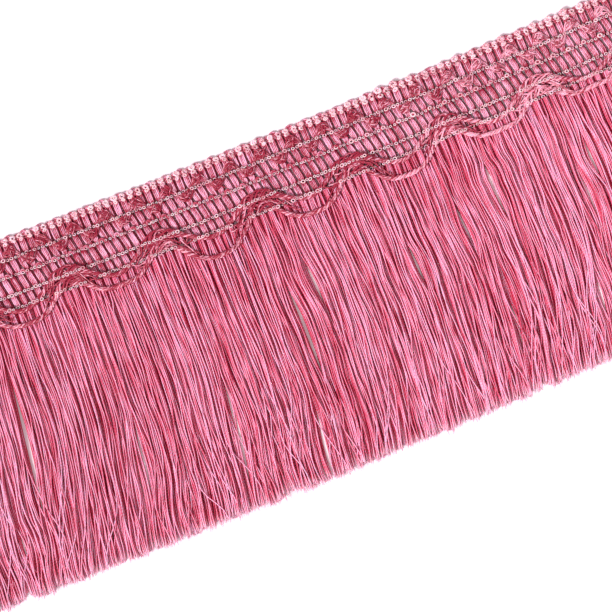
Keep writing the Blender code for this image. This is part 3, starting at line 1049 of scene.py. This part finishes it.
def drift(knots, depth):
    """A smooth curve through the drifts, which leaves the heading straight down."""
    place = 4 * max(0.0, depth - HEADING_DEPTH) / (CUT_DEPTH - HEADING_DEPTH)
    span = min(int(place), 3)
    share = min(place - span, 1.0)
    slopes = [0.0] + [(knots[k + 1] - knots[k - 1]) / 2 for k in (1, 2, 3)] + [knots[4] - knots[3]]
    start, end = knots[span], knots[span + 1]
    return (
        start * (1 + 2 * share) * (1 - share) ** 2
        + end * share**2 * (3 - 2 * share)
        + slopes[span] * share * (1 - share) ** 2
        - slopes[span + 1] * share**2 * (1 - share)
    )


def small_partings(rng):
    """Gaps between a few strands, strewn all over the fringe."""
    partings = []
    for _ in range(SMALL_PARTINGS):
        station = rng.uniform(-LENGTH / 2, LENGTH / 2)
        start = rng.uniform(16, 94) * MM
        length = rng.uniform(10, 34) * MM
        width = rng.uniform(0.3, 0.85) * MM
        partings.append(Parting(station, start, start + length, width, rng.uniform(0.9, 2.6) * MM))
    return partings


def parted(partings, station, depth):
    """How far the partings near a strand push it aside."""
    push = 0.0
    for parting in partings:
        share = (depth - parting.start) / (parting.end - parting.start)
        if 0 < share < 1:
            aside = station - parting.station
            opening = parting.width / 2 * math.sin(math.pi * share)
            push += math.copysign(opening * math.exp(-abs(aside) / parting.reach), aside)
    return push


Path = namedtuple("Path", "level places tint radius")


def strand_paths(rng):
    """The route of each strand, layer by layer. The topmost ones stray across the rest."""
    small = small_partings(rng)
    paths = []
    for order, layer in enumerate(LAYERS):
        for bar in range(BARS):
            bar_tint = rng.random()
            for aside in layer.offsets:
                paths.append(strand_path(rng, order, layer, bar_station(bar), aside, bar_tint, small))
    return paths


def strand_path(rng, order, layer, base, aside, bar_tint, small):
    """The route of one strand, from its bar down to its cut end. Some stray, and a few are thin."""
    station = base + aside
    knots = falls_at(station)
    near = [p for p in small if abs(p.station - station) < 3 * p.reach]
    end = CUT_DEPTH + CUT_SLOPE * station + rng.uniform(-1, 1) * UNEVEN_CUT
    end += CLUMPED_CUT * ripple(station / (6 * MM), 5.0, 3.0)
    wave = rng.uniform(0, 100)
    chance = rng.random()
    stray = chance < layer.astray
    thin = chance < THIN_SHARE * layer.astray
    swerve = rng.choice((-1, 1)) * rng.uniform(1.2, 6.5 if thin else 3.5) * MM if stray else 0.0
    swerve_from = rng.uniform(0.45, 0.85)
    shift = rng.uniform(-1, 1) * layer.jitter
    slant = rng.uniform(-1, 1) * 3.0 * layer.waviness
    places = []
    for step in range(FALL_STEPS + 1):
        share = step / FALL_STEPS
        depth = FALL_TOP + (end - FALL_TOP) * share
        fullness = eased_rise(share, 0.0, 0.14)
        along = base + aside * (1 + layer.spread * fullness)
        x = along + shift * fullness + drift(knots, depth)
        x += (1.0 if order else 0.7) * parted(GREAT_PARTINGS, along, depth)
        x += layer.felt * parted(near, along, depth)
        x += slip(FALL_TOP) * (1 - eased_rise(share, 0.0, 0.3))
        x += share * 0.8 * MM * ripple(along / (5 * MM), depth / (30 * MM), 1.0)
        x += slant * (share - 0.4 * fullness)
        x += layer.waviness * (fullness + 1.5 * share) * ripple(wave, depth / (16 * MM), 2.0)
        x += 0.15 * layer.waviness * fullness * ripple(wave, depth / (6 * MM), 7.0)
        x += swerve * eased_rise(share, swerve_from, 1 - swerve_from)
        places.append((x, depth))
    radius = STRAY_RADIUS if thin else layer.radius * rng.uniform(0.85, 1.1)
    tint = 1.4 if thin else 0.4 * bar_tint + 0.6 * rng.random()
    return Path(order + (1 if stray else 0), places, tint, radius)


def stack_strands(paths, rng):
    """How high each strand rests on those laid before it, and how far it lies below its neighbours."""
    order = sorted(range(len(paths)), key=lambda index: (paths[index].level, rng.random()))
    heights = [[0.0] * (FALL_STEPS + 1) for _ in paths]
    covers = [[0.0] * (FALL_STEPS + 1) for _ in paths]
    width = 2 * STRAND_RADIUS
    for step in range(FALL_STEPS + 1):
        cells = {}
        for index in order:
            x = paths[index].places[step][0]
            cell = int(x // width)
            height = paths[index].radius
            for beside in (cell - 1, cell, cell + 1):
                for other_x, other_height in cells.get(beside, ()):
                    gap = abs(other_x - x)
                    if gap < width:
                        height = max(height, other_height + 0.8 * math.sqrt(width**2 - gap**2))
            height = min(height, PILE_LIMIT)
            cells.setdefault(cell, []).append((x, height))
            heights[index][step] = height
        for index, path in enumerate(paths):
            cell = int(path.places[step][0] // width)
            nearby = (cell - 1, cell, cell + 1)
            top = max(height for beside in nearby for _, height in cells.get(beside, ()))
            covers[index][step] = top - heights[index][step]
    for levels in heights + covers:
        for _ in range(2):
            middle = levels[1:-1]
            levels[1:-1] = [
                (before + 2 * here + after) / 4
                for before, here, after in zip(levels, middle, levels[2:])
            ]
    return heights, covers


def fringe_strands(rng):
    """The strands as yarns, layer by layer. Those that lie under others, and all of them just under the
    heading, get painted shade.
    """
    paths = strand_paths(rng)
    heights, covers = stack_strands(paths, rng)
    layers = []
    for order, layer in enumerate(LAYERS):
        first = sum(len(lower.offsets) for lower in LAYERS[:order]) * BARS
        yarns = []
        for index in range(first, first + len(layer.offsets) * BARS):
            path = paths[index]
            points = [lay(x, depth, height) for (x, depth), height in zip(path.places, heights[index])]
            radii = [path.radius] * (len(points) - 1) + [0.8 * path.radius]
            shades = []
            for (x, depth), below in zip(path.places, covers[index]):
                # Painted shade on strands that lie below their neighbours and just under the heading; flush
                # adds random patches of deeper tone
                flush = max(0.0, ripple(x / (9 * MM), depth / (22 * MM), 4.0))
                root = nearness(depth - FALL_TOP, 8 * MM)
                shades.append(min(0.5, 0.3 * below / MM) + 0.3 * flush + 0.18 * root - 0.13)
            yarns.append(Yarn(points, radii, path.tint, shades))
        layers.append(yarns)
    return layers


def wisps(strands, rng):
    """Fine filaments that fan out of the cut ends."""
    yarns = []
    for strand in strands:
        end, before = strand.points[-1], strand.points[-2]
        way = (end - before).normalized()
        for _ in range(WISPS):
            side = rng.uniform(-0.35, 0.35)
            start = end - way * rng.uniform(1.0, 2.0) * MM
            reach = rng.uniform(0.2, 1.2) * MM
            across = Vector((-way.y, way.x, 0.0)) * side
            lift = Vector((0, 0, rng.uniform(-0.1, 0.25)))
            points = [start, end + across * 0.4 * MM, end + (way + across + lift) * reach]
            for point in points:
                point.z = max(point.z, 0.1 * MM)
            yarns.append(Yarn(points, WISP_RADII, rng.random()))
    return yarns


# Surroundings

def make_stage():
    """A plain pale table."""
    bpy.ops.object.select_all(action="DESELECT")
    bpy.ops.mesh.primitive_plane_add(size=4.0, location=(0, 0, 0))
    floor = bpy.context.object
    floor.name = "floor"
    material = bpy.data.materials.new("white_table")
    material.use_nodes = True
    shader = material.node_tree.nodes["Principled BSDF"]
    shader.inputs["Base Color"].default_value = PALE_FLOOR
    shader.inputs["Roughness"].default_value = 0.9
    floor.data.materials.append(material)


def make_light():
    """A soft sun from the left, a weak one from above and a pale sky."""
    scene = bpy.context.scene
    scene.world = bpy.data.worlds.new("studio")
    scene.world.use_nodes = True
    background = scene.world.node_tree.nodes["Background"]
    background.inputs["Color"].default_value = SKY
    background.inputs["Strength"].default_value = SKY_STRENGTH
    for lamp in LAMPS:
        sun = bpy.data.lights.new(lamp.name, "SUN")
        sun.energy = lamp.energy
        sun.angle = math.radians(lamp.angle)
        light = bpy.data.objects.new(lamp.name, sun)
        light.rotation_euler = Vector(lamp.source).to_track_quat("Z", "Y").to_euler()
        scene.collection.objects.link(light)


def make_camera():
    """Straight above the trim, turned so that it runs upwards to the right."""
    camera = bpy.data.cameras.new("camera")
    camera.lens = LENS
    camera.sensor_width = SENSOR
    camera.clip_end = 20
    eye = bpy.data.objects.new("camera", camera)
    eye.location = lay(0.0, VIEW_DEPTH, LENS / SENSOR * VIEW_WIDTH)
    eye.rotation_euler = (0, 0, -VIEW_TILT)
    bpy.context.scene.collection.objects.link(eye)
    bpy.context.scene.camera = eye


def make_heading(yarn, thread, edge_thread, rng):
    """The weft ladder and the stitches that bind it into one knitted sheet, each kind made as its own piece
    in place of the solid heading.
    """
    back_yarns = weft_yarns(BACK_YARNS, BACK_HEIGHT, BACK_ASIDE, 0.0, BACK_SHADE, BACK_SEED)
    weft_back = spin_yarns("weft_back", back_yarns, 4, yarn)
    loops = edge_yarns(rng) + selvedge_loops(rng)
    weft_loops = spin_yarns("weft_loops", loops, 6, yarn)
    weft_arches = spin_yarns("weft_arches", arches(rng), 6, yarn)
    rings = lay_stitches("chain_rings", RING, chain_rings(rng), thread)
    pearls = lay_stitches("chain_pearls", PEARL, chain_pearls(rng), thread)
    running = spin_yarns("selvedge_thread", edge_threads(rng), 5, edge_thread)
    upright = selvedge_stitches(rng, CROWN_DEPTH, CROWN_HEIGHT, CROWN_LOWERED)
    crowns = lay_stitches("selvedge_crowns", CROWN, upright, thread)
    below = selvedge_stitches(rng, FOOT_DEPTH, FOOT_HEIGHT, 0.0)
    feet = lay_stitches("selvedge_feet", FOOT, below, thread)
    face_yarns = weft_yarns(FACE_YARNS, FACE_HEIGHT, 0.0, PRESS, 0.0, FACE_SEED)
    weft = spin_yarns("weft_face", face_yarns, 5, yarn)
    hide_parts("heading")


def make_gimps(floss, cord, rng):
    """The zigzag floss and the two serpentine cords, which lie on the heading."""
    zigzag_gimp = spin_yarns("zigzag_floss", zigzag_strands(rng) + floss_strokes(rng), 4, floss)
    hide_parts("zigzag_gimp")
    upper_yarns = cord_plies(upper_serpentine, UPPER_CREST_DEPTH, UPPER_DYE, rng) + tangled_strands(rng)
    upper = spin_yarns("upper_serpentine", upper_yarns, 5, cord)
    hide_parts("serpentine_upper")
    lower_yarns = cord_plies(lower_serpentine, LOWER_CREST_DEPTH, LOWER_DYE, rng)
    lower = spin_yarns("lower_serpentine", lower_yarns, 5, cord)
    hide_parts("serpentine_lower")


def make_fringe(yarn, rng):
    """The three layers of strands, the lowest with every second point, and their frayed ends."""
    back, face, top = fringe_strands(rng)
    coarse = [Yarn(one.points[::2], one.radii[::2], one.tint, one.shades[::2]) for one in back]
    fringe_back = spin_yarns("fringe_back", coarse, 4, yarn, FRAY)
    fringe_face = spin_yarns("fringe_face", face, 4, yarn, FRAY)
    fringe_top = spin_yarns("fringe_top", top, 4, yarn, FRAY)
    cut_ends = spin_yarns("cut_ends", wisps(face + top, rng), 3, yarn, WISP_FRAY)
    for piece in (fringe_back, fringe_face, fringe_top, cut_ends):
        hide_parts("fringe")


def make_trim():
    """The yarns' and threads' materials, and then every piece of the trim."""
    twisted = twisted_yarn_group()
    spun = spun_thread_group()
    yarn = fibre_material(
        "rayon_yarn", twisted, 0.45, 0.10 * MM,
        Deep=DEEP_PINK, Pale=PALE_PINK, Crease=PAINTED_CREASE_SHADE, Cut_end=CUT_END_PINK,
        Turns=3600.0, Patches=130.0, Contrast=0.65, Crown=0.64,
    )
    weft_yarn = fibre_material(
        "weft_yarn", twisted, 0.40, 0.09 * MM,
        Deep=DEEP_WEFT, Pale=PALE_WEFT, Crease=PAINTED_CREASE_SHADE, Cut_end=PALE_WEFT,
        Turns=3200.0, Patches=320.0, Contrast=0.85, Crown=0.62,
    )
    floss = fibre_material(
        "rose_floss", twisted, 0.36, 0.06 * MM,
        Deep=DEEP_FLOSS, Pale=PALE_FLOSS, Crease=PAINTED_CREASE_SHADE, Cut_end=PALE_FLOSS,
        Turns=1500.0, Patches=500.0, Contrast=1.2, Crown=0.45,
    )
    cord = fibre_material(
        "rose_gimp", twisted, 0.38, 0.08 * MM,
        Deep=DEEP_FLOSS, Pale=PALE_FLOSS, Crease=PAINTED_CREASE_SHADE, Cut_end=PALE_FLOSS,
        Turns=2400.0, Patches=300.0, Contrast=1.3, Crown=0.45,
    )
    thread = fibre_material(
        "pale_thread", spun, 0.36, 0.12 * MM,
        Deep=DEEP_THREAD, Pale=PALE_THREAD, Grain=1800.0, Turns=7.0,
    )
    edge_thread = fibre_material(
        "edge_thread", twisted, 0.40, 0.08 * MM,
        Deep=DEEP_THREAD, Pale=PALE_THREAD, Crease=PAINTED_CREASE_SHADE, Cut_end=PALE_THREAD,
        Turns=4500.0, Patches=300.0, Contrast=0.8, Crown=0.5,
    )
    rng = random.Random(STRAND_SEED)
    make_heading(weft_yarn, thread, edge_thread, rng)
    make_gimps(floss, cord, rng)
    make_fringe(yarn, rng)


make_camera()
make_stage()
make_light()
make_trim()
bpy.context.scene.view_settings.view_transform = "Standard"
